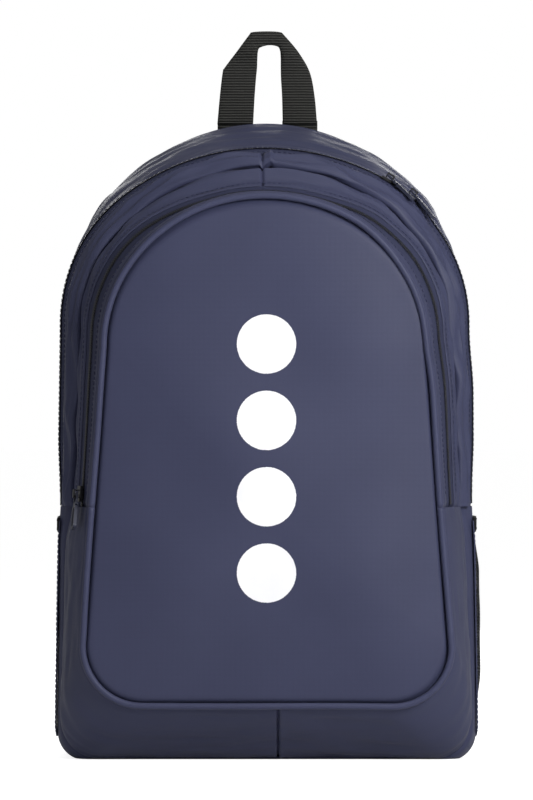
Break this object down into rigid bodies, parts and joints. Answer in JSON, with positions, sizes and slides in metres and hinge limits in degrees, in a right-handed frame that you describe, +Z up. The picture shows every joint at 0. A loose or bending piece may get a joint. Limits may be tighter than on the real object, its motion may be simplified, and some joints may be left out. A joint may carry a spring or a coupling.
{
  "type": "school backpack",
  "caption": "School backpack with an arched shell, two zipped compartments, mesh side pockets, padded straps and a webbing grab loop.",
  "frame": {"origin": "middle of the flat bottom, under the middle of the width", "axes": "+Z up, -Y towards the front panel, +X to the viewer's right"},
  "size_m": [0.3064, 0.1821, 0.512],
  "materials": {
    "navy_fabric": "satin polyester",
    "printed_panel": "satin polyester with a plain printed ornament",
    "piping": "satin bias tape over a cord",
    "lining": "plain dark lining",
    "binding": "black elastic binding",
    "zip_tape": "dark woven tape",
    "zip_coil": "nylon coil",
    "webbing": "ribbed black webbing",
    "pocket_mesh": "black net",
    "back_mesh": "black air mesh over foam",
    "buckle": "moulded acetal",
    "board": "plastic sheet",
    "slider": "gloss black lacquer",
    "pull": "soft moulded rubber"
  },
  "bodies": {
    "bag": {"back_pad_left": "back_mesh", "back_pad_right": "back_mesh", "back_panel": "navy_fabric", "base_board": "board", "corner_tab_left": "navy_fabric", "corner_tab_right": "navy_fabric", "divider_lower": "lining", "front_lower_gusset_left": "navy_fabric", "front_lower_gusset_right": "navy_fabric", "front_panel_lower": "printed_panel", "laptop_sleeve": "lining", "loop_end_left": "webbing", "loop_end_right": "webbing", "lower_webbing_left": "webbing", "lower_webbing_right": "webbing", "main_lower_gusset": "navy_fabric", "main_zip_coil_rear": "zip_coil", "main_zip_tape_rear": "zip_tape", "piping_lower": "piping", "pocket_binding_left": "binding", "pocket_binding_right": "binding", "rear_gusset": "navy_fabric", "side_pocket_left": "pocket_mesh", "side_pocket_right": "pocket_mesh", "sleeve_binding": "binding", "yoke_patch": "navy_fabric"},
    "main_flap": {"rim_gusset": "navy_fabric", "main_zip_tape_front": "zip_tape", "main_zip_coil_front": "zip_coil", "divider_upper": "lining", "front_gusset_left": "navy_fabric", "front_gusset_right": "navy_fabric", "front_zip_tape_rear": "zip_tape", "front_zip_coil_rear": "zip_coil"},
    "front_flap": {"front_zip_tape_front": "zip_tape", "front_zip_coil_front": "zip_coil", "front_strip": "navy_fabric", "front_panel_upper": "printed_panel", "piping_upper": "piping"},
    "main_slider_a": {"main_slider_a": "slider"},
    "main_slider_b": {"main_slider_b": "slider"},
    "front_slider": {"front_slider": "slider"},
    "main_pull_a": {"main_pull_a": "pull"},
    "main_pull_b": {"main_pull_b": "pull"},
    "front_pull": {"front_pull": "pull"},
    "grab_loop": {"grab_loop": "webbing"},
    "strap_left": {"shoulder_pad_left": "navy_fabric", "strap_webbing_left": "webbing", "ladder_lock_left": "buckle", "webbing_tail_left": "webbing"},
    "strap_right": {"shoulder_pad_right": "navy_fabric", "strap_webbing_right": "webbing", "ladder_lock_right": "buckle", "webbing_tail_right": "webbing"}
  },
  "joints": [
    {"name": "main_flap_fold", "type": "hinge", "parent": "bag", "child": "main_flap", "pos_m": [0, -0.084, 0.176], "axis": [1, 0, 0], "range_deg": [0, 45]},
    {"name": "front_flap_fold", "type": "hinge", "parent": "main_flap", "child": "front_flap", "pos_m": [0, -0.084, 0.176], "axis": [1, 0, 0], "range_deg": [0, 70]},
    {"name": "main_slider_a_travel", "type": "hinge", "parent": "main_flap", "child": "main_slider_a", "pos_m": [0, -0.012, 0.259], "axis": [0, 1, 0], "range_deg": [-58, 0]},
    {"name": "main_slider_b_travel", "type": "hinge", "parent": "main_flap", "child": "main_slider_b", "pos_m": [0.03094, -0.012, 0.30318], "axis": [0, 1, 0], "range_deg": [0, 46]},
    {"name": "front_slider_travel", "type": "slide", "parent": "front_flap", "child": "front_slider", "axis": [0.0534, 0, 0.9986], "range_m": [0, 0.095]},
    {"name": "main_pull_a_lift", "type": "hinge", "parent": "main_slider_a", "child": "main_pull_a", "pos_m": [0.08638, -0.012, 0.40565], "axis": [-0.4942, -0.8192, 0.2911], "range_deg": [0, 110]},
    {"name": "main_pull_b_lift", "type": "hinge", "parent": "main_slider_b", "child": "main_pull_b", "pos_m": [0.10252, -0.012, 0.3948], "axis": [-0.452, -0.8192, 0.3531], "range_deg": [0, 110]},
    {"name": "front_pull_lift", "type": "hinge", "parent": "front_slider", "child": "front_pull", "pos_m": [-0.13153, -0.06347, 0.18527], "axis": [-0.279, 0.8692, -0.4083], "range_deg": [0, 100]},
    {"name": "grab_loop_fold", "type": "hinge", "parent": "bag", "child": "grab_loop", "pos_m": [0, 0.0782, 0.4486], "axis": [1, 0, 0], "range_deg": [-70, 75], "stiffness_Nm_per_rad": 0.02},
    {"name": "strap_left_swing", "type": "hinge", "parent": "bag", "child": "strap_left", "pos_m": [-0.038, 0.0855, 0.405], "axis": [1, 0, 0], "range_deg": [0, 25]},
    {"name": "strap_right_swing", "type": "hinge", "parent": "bag", "child": "strap_right", "pos_m": [0.038, 0.0855, 0.405], "axis": [1, 0, 0], "range_deg": [0, 25]}
  ]
}
